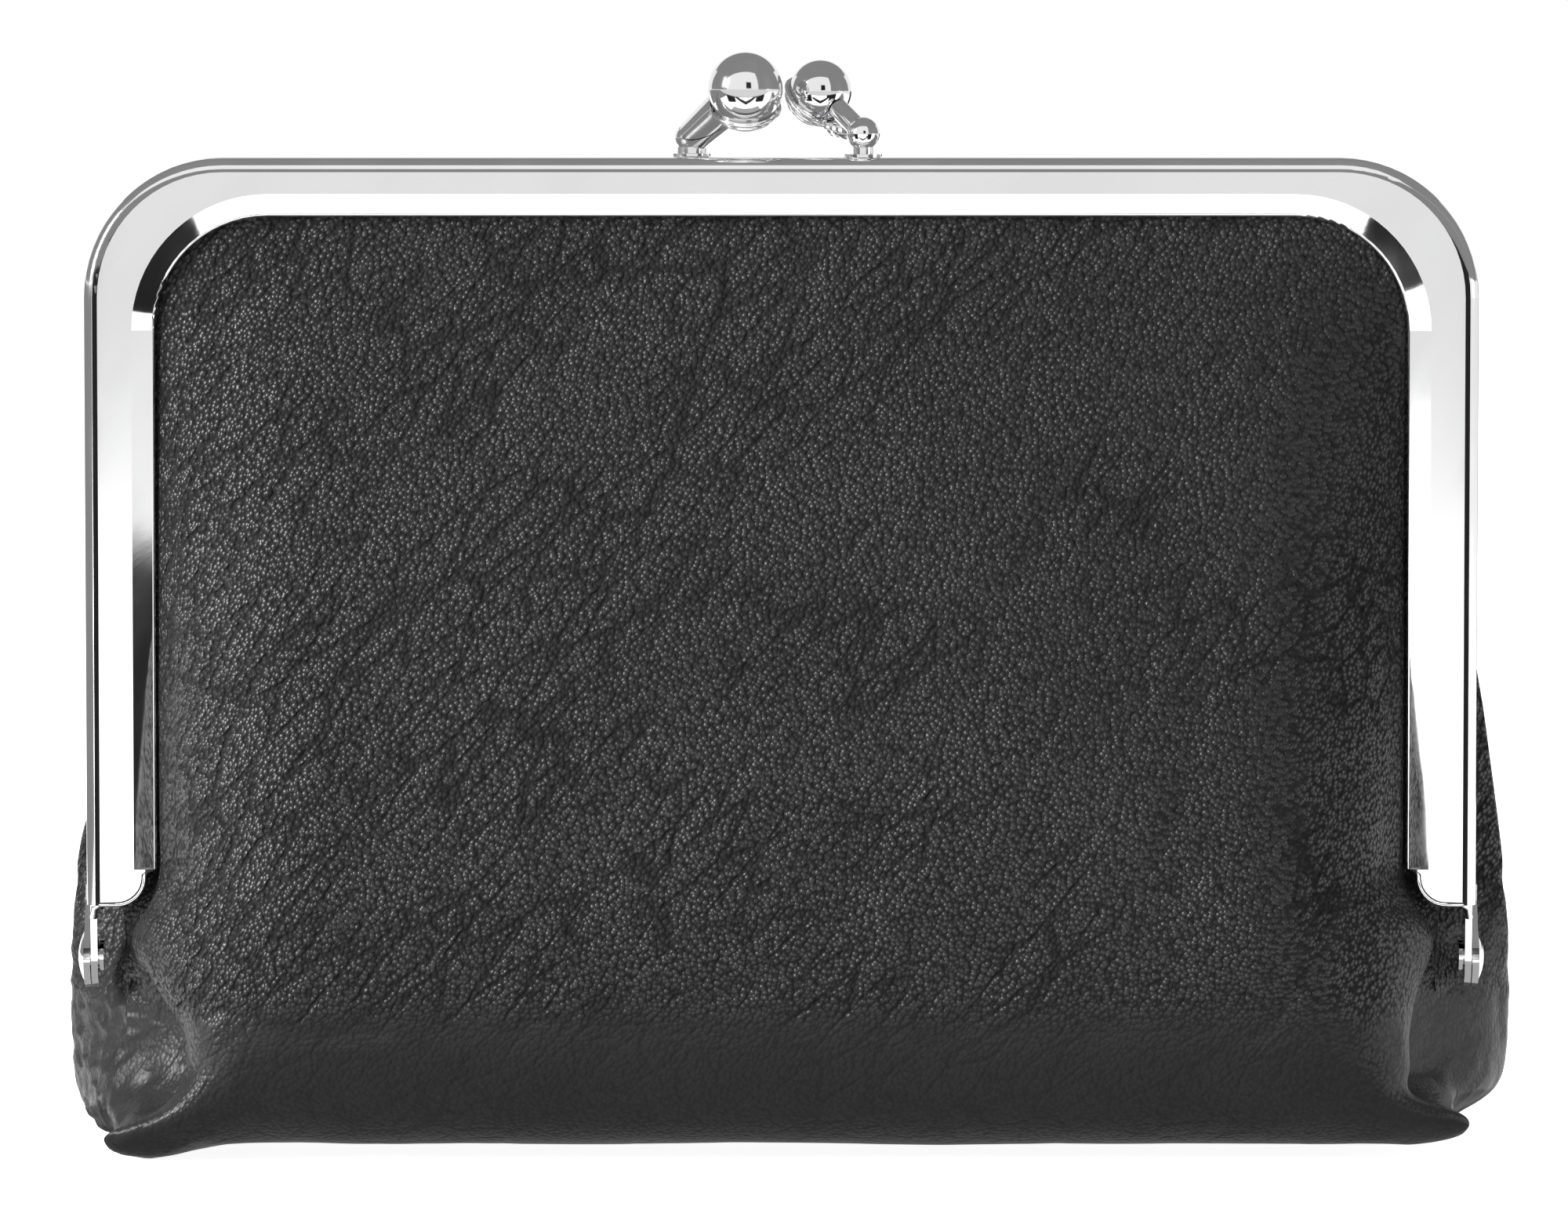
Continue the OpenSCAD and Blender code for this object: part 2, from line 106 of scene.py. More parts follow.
# Columns of the side, from the seam at the bag's middle out to the shoulder: (half-width, depth,
# height). The rear leather swells round past the seam to a crease, which the front one overhangs.
SEAM = [
    (60.4, 0, 1.6), (61.0, 0, 2.1), (61.5, 0, 2.8), (62.0, 0, 3.9), (61.3, 0, 6.2),
    (60.5, 0, 9.2), (60.2, 0, 12.0), (60.1, 0, 14.2), (60.0, 0, 15.8),
]
FRONT_SIDE = {
    "fold": [
        (60.2, 0, 1.3), (60.2, 3.0, 1.8), (60.3, 5.6, 2.4), (59.2, 7.2, 3.3), (54.5, 7.0, 5.6),
        (52.3, 6.6, 8.5), (52.9, 5.8, 11.8), (55.5, 4.4, 14.9), (58.2, 3.0, 17.6),
    ],
    "inner": [
        (59.8, 0, 1.15), (59.9, 4.0, 1.5), (60.5, 7.2, 2.0), (59.9, 8.6, 3.0), (54.9, 8.7, 5.3),
        (52.7, 8.3, 8.5), (53.3, 7.5, 12.0), (55.8, 6.0, 15.6), (58.4, 4.4, 19.0),
    ],
    "ridge": [
        (59.0, 0, 1.0), (59.6, 4.8, 1.0), (60.7, 8.7, 1.5), (61.3, 10.0, 2.7), (56.3, 10.3, 5.1),
        (54.1, 10.3, 8.5), (54.6, 9.5, 12.2), (57.0, 8.1, 16.0), (59.3, 6.2, 20.0),
    ],
    "round": [
        (56.4, 0, 0.8), (56.7, 4.3, 0.55), (57.2, 8.6, 0.7), (56.8, 11.4, 2.6), (53.6, 12.9, 5.8),
        (51.8, 13.6, 9.4), (52.3, 13.5, 13.1), (53.9, 12.7, 17.2), (55.4, 11.2, 21.4),
    ],
    "shoulder": [
        (49.0, 0, 0.95), (49.0, 4.2, 0.95), (49.0, 8.2, 1.6), (48.6, 11.3, 3.5), (47.6, 13.6, 6.5),
        (46.6, 15.1, 10.1), (46.4, 15.8, 14.0), (46.6, 16.0, 18.0), (46.8, 15.9, 21.9),
    ],
}
REAR_SIDE = {
    "fold": [
        (60.3, 0, 1.3), (61.0, 3.0, 1.7), (62.2, 3.6, 2.1), (63.6, 3.6, 3.8), (63.6, 3.6, 6.5),
        (63.2, 3.6, 9.8), (63.0, 3.6, 13.0), (62.2, 3.8, 15.8), (61.4, 4.4, 18.4),
    ],
    "inner": [
        (60.1, 0, 1.1), (61.0, 4.4, 1.3), (63.0, 6.8, 1.7), (64.9, 7.2, 3.4), (65.4, 7.2, 6.6),
        (65.3, 7.1, 10.2), (65.3, 7.0, 14.0), (64.9, 6.9, 17.4), (64.4, 6.9, 20.9),
    ],
    "ridge": [
        (59.4, 0, 0.9), (60.4, 4.8, 0.9), (63.2, 8.8, 1.3), (65.2, 10.4, 3.2), (66.0, 10.8, 6.4),
        (66.2, 10.7, 10.3), (66.3, 10.4, 14.4), (66.2, 10.1, 18.3), (66.0, 9.7, 22.2),
    ],
    "round": [
        (56.6, 0, 0.8), (57.2, 4.3, 0.7), (59.0, 8.8, 1.0), (60.6, 12.0, 3.1), (60.4, 13.8, 6.5),
        (60.4, 14.7, 10.4), (60.2, 15.0, 14.4), (60.0, 14.9, 18.3), (59.8, 14.6, 22.2),
    ],
    "shoulder": [
        (49.0, 0, 0.95), (49.0, 4.2, 0.95), (49.0, 8.2, 1.6), (49.2, 11.4, 3.5), (49.2, 13.8, 6.5),
        (49.2, 15.3, 10.1), (49.0, 16.1, 14.2), (49.0, 16.4, 18.2), (49.0, 16.4, 22.1),
    ],
}
COLUMNS = ["fold", "inner", "ridge", "round", "shoulder"]

# Beside the channel's end: the seam, and the fold where the leather's edge climbs into the slot
HINGE_SEAM = (60.2, 2.2, 21.0)
HINGE_FOLD = (59.0, SLOT_DEPTH, 22.4)

# How far the leather's edge reaches into the channel, along the arms and in the rounded corners
ARM_REACH = 3.0
CORNER_REACH = 2.0

# How the panel meets the frame above the hinge: inset from the opening, and share of the bulge
# beside the frame's ends and higher up
FRONT_EDGE = {
    "fold": (0.05, 0.0, 0.0),
    "inner": (0.45, 0.08, 0.06),
    "ridge": (1.3, 0.22, 0.15),
    "round": (4.6, 0.62, 0.45),
    "shoulder": (12.0, 0.93, 0.83),
}
EDGE_FROM = 25
EDGE_TO = 60

# Columns between the shoulder and the middle: share of the shoulder's half-width, and of the bulge
INNER_SHARES = [0.76, 0.5, 0.25]
INNER_BULGE_SHARES = [0.93, 0.977, 0.995]

# The rear leather's swelling behind the frame's arm: places of its columns, and by height how far
# from the middle it reaches
LOBE_PAST_FRAME = 2.6
LOBE_FOLD_OUT = 1.4
LOBE_FOLD_BACK = 0.9
LOBE_RIDGE_DEPTH = 9.4
LOBE_COLUMNS = {"round": (59.6, 14.3), "shoulder": (48.8, 16.3)}
LOBE_REACH = {
    "left": ([26, 30, 35, 41, 48], [65.3, 64.3, 61.5, 57.5, 55.9]),
    "right": ([26, 30, 35, 41, 48, 56, 64, 71], [67.0, 66.5, 65.8, 64.9, 63.4, 60.5, 57, 55.9]),
}

# How the two sides differ: width of the swelling, and shifts of the front columns and the foot by row
LOBE_SCALE = {"left": 0.95, "right": 1.12}
LOBE_SCALED_FROM = 57
FOOT_ROWS = 3
RIDGE_SHIFT = {
    "left": [0, 0.6, 0.5, 0, 0, 0, 0, 0, 0],
    "right": [0.2, 0.9, 1.1, 0.6, 0.9, 2.9, 2.4, 0.9, 0.1],
}
SHIFT_SHARES = {"fold": 1, "inner": 1, "ridge": 1, "round": 0.6, "shoulder": 0}
FOOT_LIFT = {
    "left": [0, -0.45, -0.55, -0.1, 0, 0, 0, 0, 0],
    "right": [0.3, 0.8, 1.0, 1.3, 1.2, 0.5, 0, 0, 0],
}

# Quads between two columns, from the seam to the middle, and between two rows
COLUMN_STEPS = [18, 7, 11, 14, 18, 24, 26, 26, 26]
ROW_STEPS = 11
LINING_EVERY = 3


def opening_at(z):
    """Half-width of the frame's opening at a height, or at each of an array of heights."""
    rise = np.clip(z - (opening_top - OPENING_R), 0, OPENING_R)
    return opening_w - OPENING_R + np.sqrt(OPENING_R**2 - rise**2)


def bulge_at(z):
    """Depth of the panel's crown at a height above the hinge."""
    share = min(1, max(0, (z - hinge_z) / (opening_top - hinge_z)))
    return SLOT_DEPTH + (BULGE_DEPTH - SLOT_DEPTH) * (1 - share**BULGE_CURVE)


def ease(share):
    """A share from 0 to 1 that starts and ends gently."""
    share = np.clip(share, 0, 1)
    return share * share * (3 - 2 * share)


def fade(value, start, end):
    """A share that eases from 0 at one value to 1 at another."""
    return ease((value - start) / (end - start))


def bottom_side(jaw, side):
    """The side's control points below the channel's end, a row of columns from the seam outwards."""
    table = FRONT_SIDE if jaw == "front" else REAR_SIDE
    rows = []
    for k, (seam_x, seam_depth, seam_z) in enumerate(SEAM):
        row = [(seam_x, seam_depth, seam_z + FOOT_LIFT[side][k])]
        for name in COLUMNS:
            x, depth, z = table[name][k]
            if jaw == "front":
                x += RIDGE_SHIFT[side][k] * SHIFT_SHARES[name]
            elif x > LOBE_SCALED_FROM and k >= FOOT_ROWS:
                x = LOBE_SCALED_FROM + (x - LOBE_SCALED_FROM) * LOBE_SCALE[side]
            if name != "shoulder":
                z += FOOT_LIFT[side][k]
            row.append((x, depth, z))
        rows.append(row)
    return rows


def panel_side(jaw, side, z):
    """The side's control points at a height where the leather runs into the channel."""
    w, bulge = opening_at(z), bulge_at(z)
    reach = ARM_REACH if z < opening_top - OPENING_R else CORNER_REACH
    lobe_x = half_w + LOBE_PAST_FRAME * LOBE_SCALE[side]
    tucked_x = w - FRONT_EDGE["ridge"][0]
    lobe = max(0, (np.interp(z, *LOBE_REACH[side]) - tucked_x) / (lobe_x - tucked_x))
    swollen = {
        "inner": (w + LOBE_FOLD_OUT, face_depth + LOBE_FOLD_BACK),
        "ridge": (lobe_x, LOBE_RIDGE_DEPTH),
        **LOBE_COLUMNS,
    }
    higher = float(fade(z, EDGE_FROM, EDGE_TO))
    row = [(w + reach, SLOT_DEPTH, z)]
    for name in COLUMNS:
        inset, low_share, high_share = FRONT_EDGE[name]
        share = low_share + higher * (high_share - low_share)
        x, depth = w - inset, SLOT_DEPTH + (bulge - SLOT_DEPTH) * share
        if jaw == "rear" and name in swollen:
            x += (swollen[name][0] - x) * lobe
            depth += (swollen[name][1] - depth) * lobe
        row.append((x, depth, z))
    return row


def hinge_row(jaw, side):
    """The row beside the channel's end, where the leather's free edge climbs into the slot."""
    low, high = bottom_side(jaw, side)[-1], panel_side(jaw, side, PANEL_HEIGHTS[0])
    row = [HINGE_SEAM, HINGE_FOLD]
    for near, far in zip(low[2:], high[2:]):
        row.append(tuple((a + b) / 2 for a, b in zip(near, far)))
    return row


def inner_columns(shoulder, middle, flat):
    """Points between the shoulder and the bag's middle, from the outside in.

    A flat row keeps the middle's depth and height until near the shoulder.
    """
    points = []
    for share, bulge in zip(INNER_SHARES, INNER_BULGE_SHARES):
        mix = share**3 if flat else (1 - bulge) / (1 - FRONT_EDGE["shoulder"][2])
        points.append((
            shoulder[0] * share,
            middle[0] + (shoulder[1] - middle[0]) * mix,
            middle[1] + (shoulder[2] - middle[1]) * mix,
        ))
    return points


def control_net(jaw):
    """The half's control points, as an array of rows by columns by 3, in millimetres."""
    sides = {
        side: bottom_side(jaw, side) + [hinge_row(jaw, side)]
        + [panel_side(jaw, side, z) for z in PANEL_HEIGHTS]
        for side in SIDE_SIGN
    }
    at_hinge = (BULGE_DEPTH - HINGE_DIP, (BOTTOM_ROWS[-1][1] + PANEL_HEIGHTS[0]) / 2)
    middles = BOTTOM_ROWS + [at_hinge] + [(bulge_at(z), z) for z in PANEL_HEIGHTS]
    net = []
    for k, middle in enumerate(middles):
        left, right = ([*sides[side][k]] for side in SIDE_SIGN)
        left += inner_columns(left[-1], middle, k < len(BOTTOM_ROWS))
        right += inner_columns(right[-1], middle, k < len(BOTTOM_ROWS))
        net.append([(-x, depth, z) for x, depth, z in left] + [(0, *middle)] + right[::-1])
    net.append([(x * TUCK_SHARE, SLOT_DEPTH, opening_top + TUCK_RISE) for x, depth, z in net[-1]])
    net = np.array(net, float)
    net[:, :, 1] *= JAW_SIGN[jaw]
    return net


def spline(steps):
    """Weights that turn control values into samples along a curve through them."""
    count = len(steps) + 1
    samples = [(k, j / n) for k, n in enumerate(steps) for j in range(n)] + [(count - 2, 1.0)]
    weights = np.zeros((len(samples), count))
    for row, (k, t) in enumerate(samples):
        basis = (
            (-t + 2 * t**2 - t**3) / 2,
            (2 - 5 * t**2 + 3 * t**3) / 2,
            (t + 4 * t**2 - 3 * t**3) / 2,
            (-(t**2) + t**3) / 2,
        )
        for offset, value in zip((-1, 0, 1, 2), basis):
            at = k + offset
            if at < 0:
                weights[row, 0] += 2 * value
                weights[row, 1] -= value
            elif at >= count:
                weights[row, count - 1] += 2 * value
                weights[row, count - 2] -= value
            else:
                weights[row, at] += value
    return weights


def surface(net):
    """A smooth grid of points through the control points."""
    rows = spline([ROW_STEPS] * (len(net) - 1))
    columns = spline(COLUMN_STEPS + COLUMN_STEPS[::-1])
    return np.einsum("ri,ijk,cj->rck", rows, net, columns)


def normals(points, outward):
    """Unit normals of a grid of points, pointing away from the bag. outward is 1 or -1."""
    across = np.gradient(points, axis=1)
    up = np.gradient(points, axis=0)
    n = np.cross(across, up)
    n /= np.maximum(np.linalg.norm(n, axis=2, keepdims=True), 1e-9)
    return n * outward


def smooth_noise(points, size, seed, stretch=1, degrees=0):
    """Noise from about -1 to 1 at each point, drawn out along a slope in the panel's plane."""
    c, s = math.cos(math.radians(degrees)), math.sin(math.radians(degrees))
    x, y, z = points[..., 0], points[..., 1], points[..., 2]
    turned = np.stack([c * x + s * z, y, -s * x + c * z], axis=-1)
    places = turned / (size * np.array((stretch, 1, 1))) + SEED_STEP * seed
    values = [noise.noise(place) for place in places.reshape(-1, 3).tolist()]
    return np.array(values).reshape(points.shape[:-1])


# Unevenness of the leather: height, then size, seed, stretch and slope of its noise
SEED_STEP = 37.0
SOFT_WAVES = [(0.34, 26, 1), (0.14, 9, 2, 2.8, 52)]
GRAIN_WAVES = [(0.09, 3.6, 3, 2.4, 56), (0.05, 1.8, 4, 2.0, 50)]
GRAIN_LINES = (0.1, 6.5, 7, 3.4, 50)
LINE_WIDTH = 0.1
CORNER_FOLDS = (0.5, 4.4, 5, 3.2, 38)
CORNER_WAVES = (0.14, 2.3, 6)
LOBE_FOLDS = (0.55, 1.7, 8, 4.5, 28)
FOLD_LEVEL = 0.4

# The gathered corners and the swollen folds: where each begins and is full, and its share by side
GATHERED_ACROSS, GATHERED_DOWN = (45, 54), (30, 16)
GATHERED_SHARE = {"left": 0.8, "right": 0.35}
LOBE_ACROSS, LOBE_DOWN = (56, 58), (21, 17)
LOBE_SHARE = {"left": 1, "right": 0.25}
LOBE_CALM_SHARE = 0.7
CUFF_BACK = (-9, -7)

# Where the leather is pulled smooth, and where it is held flat in the channel
SMOOTH_DOWN = (16, 12)
SMOOTH_SHARE = 0.8
SLOT_UP = (22, 25)
SLOT_FADE = 2.5
TOP_FADE = 4

# Creases in the front leather: points (across, height), width and depth
FRONT_CREASES = [
    ([(-36, 62), (-28, 66), (-20, 73), (-14, 82)], 0.9, 0.12),
    ([(-50, 50), (-43, 52), (-36, 58)], 0.8, 0.1),
    ([(-54, 40), (-46, 43), (-40, 49)], 0.8, 0.1),
    ([(-30, 38), (-22, 43), (-12, 50), (-2, 62)], 0.9, 0.09),
    ([(10, 32), (17, 42), (21, 52), (27, 64)], 0.9, 0.08),
    ([(30, 22), (36, 32), (38, 44), (44, 56)], 0.8, 0.09),
    ([(43, 12), (47, 17), (50, 24)], 0.7, 0.16),
    ([(-57, 23), (-50, 20.5), (-41, 19.5)], 0.8, 0.18),
    ([(57, 24), (51, 22), (44, 23)], 0.8, 0.16),
    ([(-52, 15), (-44, 12), (-36, 12.5)], 1.0, 0.14),
]


def crease_depth(points, creases):
    """How deep the creases are at each point, seen from the front."""
    flat = points.reshape(-1, 3)[:, [0, 2]]
    total = np.zeros(len(flat))
    for path, width, depth in creases:
        path = np.array(path, float)
        near = np.full(len(flat), 1e9)
        for a, b in zip(path[:-1], path[1:]):
            d = b - a
            t = np.clip(((flat - a) @ d) / (d @ d), 0, 1)
            near = np.minimum(near, np.linalg.norm(flat - a - t[:, None] * d, axis=1))
        total += depth * np.exp(-((near / width) ** 2))
    return total.reshape(points.shape[:-1])


def waves(points, amount, *noise_kind):
    return amount * smooth_noise(points, *noise_kind)


def folds(points, amount, *noise_kind):
    """Waves with sharp tops."""
    return amount * (FOLD_LEVEL - np.abs(smooth_noise(points, *noise_kind)))


def lines(points, amount, *noise_kind):
    """Fine lines where the noise passes zero."""
    return amount * np.exp(-((smooth_noise(points, *noise_kind) / LINE_WIDTH) ** 2))


def wrinkled(points, n, jaw):
    """The surface with its soft unevenness, its diagonal creases and its gathered corners."""
    x, z = np.abs(points[..., 0]), points[..., 2]
    right = points[..., 0] > 0
    slot = fade(z, *SLOT_UP) * ease((x - opening_at(z) + SLOT_FADE) / SLOT_FADE)
    top = ease((z - opening_top + TOP_FADE) / TOP_FADE)
    free = 1 - np.maximum(slot, top)
    gathered = fade(x, *GATHERED_ACROSS) * fade(z, *GATHERED_DOWN)
    gathered = gathered * np.where(right, GATHERED_SHARE["right"], GATHERED_SHARE["left"])
    lobe = fade(x, *LOBE_ACROSS) * fade(z, *LOBE_DOWN)
    lobe = lobe * np.where(right, LOBE_SHARE["right"], LOBE_SHARE["left"])
    if jaw == "front":
        lobe = lobe * fade(points[..., 1], *CUFF_BACK)
    grained = 1 - SMOOTH_SHARE * fade(z, *SMOOTH_DOWN)
    height = sum(waves(points, *wave) for wave in SOFT_WAVES)
    height += grained * sum(waves(points, *wave) for wave in GRAIN_WAVES)
    height -= grained * lines(points, *GRAIN_LINES)
    corner = folds(points, *CORNER_FOLDS) + waves(points, *CORNER_WAVES)
    height += (gathered - LOBE_CALM_SHARE * lobe) * corner
    height += lobe * folds(points, *LOBE_FOLDS)
    if jaw == "front":
        height -= crease_depth(points, FRONT_CREASES)
    return points + n * (height * free)[..., None]


def shell_faces(grid):
    """Faces of a closed shell between two like grids of points, and the order of points round its rim."""
    corners = [grid[:-1, :-1], grid[:-1, 1:], grid[1:, 1:], grid[1:, :-1]]
    quads = np.stack(corners, axis=-1).reshape(-1, 4)
    rim = np.concatenate([grid[0, :], grid[1:, -1], grid[-1, -2::-1], grid[-2:0:-1, 0]])
    next_rim = np.roll(rim, -1)
    band = np.stack([next_rim, rim, rim + grid.size, next_rim + grid.size], axis=-1)
    return np.concatenate([quads, quads[:, ::-1] + grid.size, band]), rim


def sharpen(mesh, loops):
    """Marks the edges along closed loops of points as sharp."""
    ends = np.zeros(len(mesh.edges) * 2, np.int32)
    mesh.edges.foreach_get("vertices", ends)
    pairs = np.concatenate([np.stack([loop, np.roll(loop, -1)], 1) for loop in loops])
    keys = [
        np.sort(edges.astype(np.int64), axis=1) @ (len(mesh.vertices), 1)
        for edges in (ends.reshape(-1, 2), pairs)
    ]
    sharp = mesh.attributes.new("sharp_edge", "BOOLEAN", "EDGE")
    sharp.data.foreach_set("value", np.isin(*keys))


def jaw_share(points, jaw):
    """How far each point follows its frame half, by its angle round the hinge from straight below."""
    depth = np.maximum(points[:, 1] * JAW_SIGN[jaw], 0)
    angle = np.arctan2(depth, hinge_z * MM - points[:, 2])
    share = np.clip(angle / (math.pi / 2), 0, 1)
    return (share + ease(share)) / 2


def shell(name, outer, inner, jaw, material):
    """A closed leather or cloth shell between two like grids, blended over the hinge."""
    rows, columns = outer.shape[:2]
    faces, rim = shell_faces(np.arange(rows * columns).reshape(rows, columns))
    if jaw == "rear":
        faces = faces[:, ::-1]
    points = np.concatenate([outer.reshape(-1, 3), inner.reshape(-1, 3)]) * MM
    mesh = bpy.data.meshes.new(name)
    mesh.from_pydata(points.tolist(), [], faces.tolist())
    mesh.shade_smooth()
    mesh.materials.append(material)
    sharpen(mesh, [rim, rim + rows * columns])
    rest = mesh.attributes.new("rest_place", "FLOAT_VECTOR", "POINT")
    rest.data.foreach_set("vector", points.astype(np.float32).ravel())
    obj = bpy.data.objects.new(name, mesh)
    bpy.context.scene.collection.objects.link(obj)
    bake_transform(obj, "pouch", jaw + "_jaw", start=Vector((0, 0, 0)), end=Vector((0, 0, hinge_z * MM)))
    weight = jaw_share(points, jaw).astype(np.float32)
    mesh.attributes["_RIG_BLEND"].data.foreach_set("value", weight)
    return obj


# Materials. The leather's grain has pebbles, soft rolls and creases. Each has its count per metre, its
# stretch and slope in degrees, and its height.

PEBBLES = 2500
PEBBLE_SLOPE = (1.2, 55)
PEBBLE_H = 0.00026
ROLLS = 760
ROLL_SLOPE = (1.7, 50)
ROLL_H = 0.00022
CREASES = 400
CREASE_SLOPE = (4.2, 48)
CREASE_H = 0.00015
CREASE_BENDS = 250
CREASE_BEND = 0.0008
CREASE_GROUPS = 70
PATCHES = 60
WEAVE = 620

# Where the grain comes back above the smooth bottom, and where the corners lie
GRAIN_UP = (0.0125, 0.0155)
CORNER_ACROSS = (0.053, 0.058)
CORNER_UP = (0.02, 0.025)


class Nodes:
    """Short calls for the nodes of a material or of the world. Texture scales are per metre."""

    def __init__(self, owner, shader):
        owner.use_nodes = True
        self.owner = owner
        self.tree = owner.node_tree
        self.shader = self.tree.nodes[shader]

    def add(self, kind, values=None, **settings):
        node = self.tree.nodes.new(kind)
        for key, value in settings.items():
            setattr(node, key, value)
        for key, value in (values or {}).items():
            self.put(node.inputs[key], value)
        return node

    def put(self, socket, value):
        if isinstance(value, bpy.types.NodeSocket):
            self.tree.links.new(value, socket)
        else:
            socket.default_value = value

    def drawn_out(self, vector, stretch, degrees):
        """Coordinates that draw a texture out along a slope in the panel's plane."""
        return self.add(
            "ShaderNodeMapping",
            {"Vector": vector, "Rotation": (0, math.radians(90 - degrees), 0), "Scale": (1, 1, stretch)},
            vector_type="TEXTURE",
        ).outputs["Vector"]

    def shift(self, vector, scale, size):
        """A small random vector for each place, which bends a texture's lines."""
        texture = self.add("ShaderNodeTexNoise", {"Vector": vector, "Scale": scale, "Detail": 2.0})
        centred = self.add(
            "ShaderNodeVectorMath",
            {0: texture.outputs["Color"], 1: (0.5, 0.5, 0.5)},
            operation="SUBTRACT",
        ).outputs[0]
        return self.add(
            "ShaderNodeVectorMath", {0: centred, "Scale": size}, operation="SCALE"
        ).outputs[0]

    def noise(self, vector, scale, detail=3.0, roughness=0.5):
        return self.add(
            "ShaderNodeTexNoise",
            {"Vector": vector, "Scale": scale, "Detail": detail, "Roughness": roughness},
        ).outputs["Fac"]

    def cells(self, vector, scale, feature="F1"):
        return self.add(
            "ShaderNodeTexVoronoi", {"Vector": vector, "Scale": scale}, feature=feature
        ).outputs["Distance"]

    def math(self, operation, a, b=0.0, c=0.0):
        return self.add("ShaderNodeMath", {0: a, 1: b, 2: c}, operation=operation).outputs[0]

    def to_range(self, value, low, high, to_low, to_high):
        return self.add(
            "ShaderNodeMapRange",
            {"Value": value, "From Min": low, "From Max": high, "To Min": to_low, "To Max": to_high},
        ).outputs["Result"]

    def colours(self, value, dark, light):
        ramp = self.add("ShaderNodeValToRGB", {"Fac": value})
        ramp.color_ramp.elements[0].color = (*dark, 1)
        ramp.color_ramp.elements[1].color = (*light, 1)
        return ramp.outputs["Color"]

    def bump(self, height, strength, distance, normal=None):
        values = {"Height": height, "Strength": strength, "Distance": distance}
        if normal is not None:
            values["Normal"] = normal
        return self.add("ShaderNodeBump", values).outputs["Normal"]

    def finish(self, **values):
        for key, value in values.items():
            self.put(self.shader.inputs[key.replace("_", " ")], value)
        return self.owner


def new_material(name):
    return Nodes(bpy.data.materials.new(name), "Principled BSDF")


def rest_place(n):
    """The closed bag's coordinates, which stay with the leather when the bag opens."""
    return n.add("ShaderNodeAttribute", attribute_name="rest_place").outputs["Vector"]


def leather_material():
    """Black leather with a fine pebbled grain and fine creases, both drawn out along one diagonal.

    The grain fades where the leather is pulled smooth round the bottom and in the lower corners.
    Its sheen is painted: brighter on the pebbles' tops and darker in the gaps between them and in
    the creases, as painted glints and painted shade, and in the lower corners darker on the left
    and brighter on the right.
    """
    n = new_material("black_leather")
    place = rest_place(n)
    places = n.add("ShaderNodeSeparateXYZ", {"Vector": place}).outputs
    across, height = places["X"], places["Z"]
    side = n.to_range(n.math("ABSOLUTE", across), *CORNER_ACROSS, 0.0, 1.0)
    corner = n.math("MULTIPLY", side, n.to_range(height, *CORNER_UP, 1.0, 0.0))
    above = n.to_range(height, *GRAIN_UP, 0.3, 1.0)
    kept = n.math("MULTIPLY", above, n.to_range(corner, 0.0, 1.0, 1.0, 0.45))

    cell = n.cells(n.drawn_out(place, *PEBBLE_SLOPE), PEBBLES)
    domes = n.math("SUBTRACT", 1.0, n.math("MULTIPLY", cell, cell))
    # In the lower corners the sheen is painted darker on the left and brighter on the right, as painted
    # shade and painted sheen.
    sheen_painted_by_side = n.math("MULTIPLY_ADD", n.to_range(across, -0.06, 0.06, -0.07, 0.05), corner, 0.2)
    # The sheen is painted brighter on the pebbles' tops and darker in the gaps between them, as painted
    # glints and painted shade.
    sheen_with_painted_shade = n.math("MULTIPLY_ADD", n.to_range(cell, 0.25, 0.65, 0.28, -0.15), kept, sheen_painted_by_side)

    shifts = n.shift(place, CREASE_BENDS, CREASE_BEND)
    bent = n.add("ShaderNodeVectorMath", {0: place, 1: shifts}, operation="ADD").outputs[0]
    network = n.cells(n.drawn_out(bent, *CREASE_SLOPE), CREASES, "DISTANCE_TO_EDGE")
    spread = n.math("ADD", n.noise(place, CREASE_GROUPS, 2.0), n.to_range(across, -0.05, 0.0, 0.16, 0.0))
    present = n.to_range(spread, 0.46, 0.58, 0.0, 1.0)
    groove = n.to_range(network, 0.02, 0.1, 1.0, 0.0)
    cut = n.math("MULTIPLY", n.math("MULTIPLY", groove, present), kept)

    rolls = n.noise(n.drawn_out(place, *ROLL_SLOPE), ROLLS, 3.0, 0.6)
    patches = n.noise(place, PATCHES, 3.0)
    grained = n.bump(n.math("MULTIPLY", domes, kept), 1.0, PEBBLE_H)
    rolled = n.bump(n.math("MULTIPLY", rolls, kept), 0.6, ROLL_H, grained)
    return n.finish(
        Base_Color=n.colours(patches, (0.0125, 0.0125, 0.0128), (0.0175, 0.0175, 0.018)),
        # The sheen is painted darker in the creases, as painted shade.
        Specular_IOR_Level=n.math("MULTIPLY", sheen_with_painted_shade, n.to_range(cut, 0.0, 1.0, 1.0, 0.12)),
        Roughness=n.to_range(patches, 0.3, 0.7, 0.3, 0.37),
        Normal=n.bump(n.math("SUBTRACT", 1.0, cut), 0.8, CREASE_H, rolled),
    )


def lining_material():
    """Plain black cloth."""
    n = new_material("black_cloth")
    warp, weft = (
        n.add("ShaderNodeTexWave", {"Vector": rest_place(n), "Scale": WEAVE}, bands_direction=way)
        .outputs["Fac"]
        for way in "XZ"
    )
    weave = n.math("MULTIPLY", warp, weft)
    return n.finish(
        Base_Color=n.colours(weave, (0.008, 0.008, 0.009), (0.03, 0.03, 0.032)),
        Roughness=0.8,
        Normal=n.bump(weave, 0.5, 0.0001),
    )


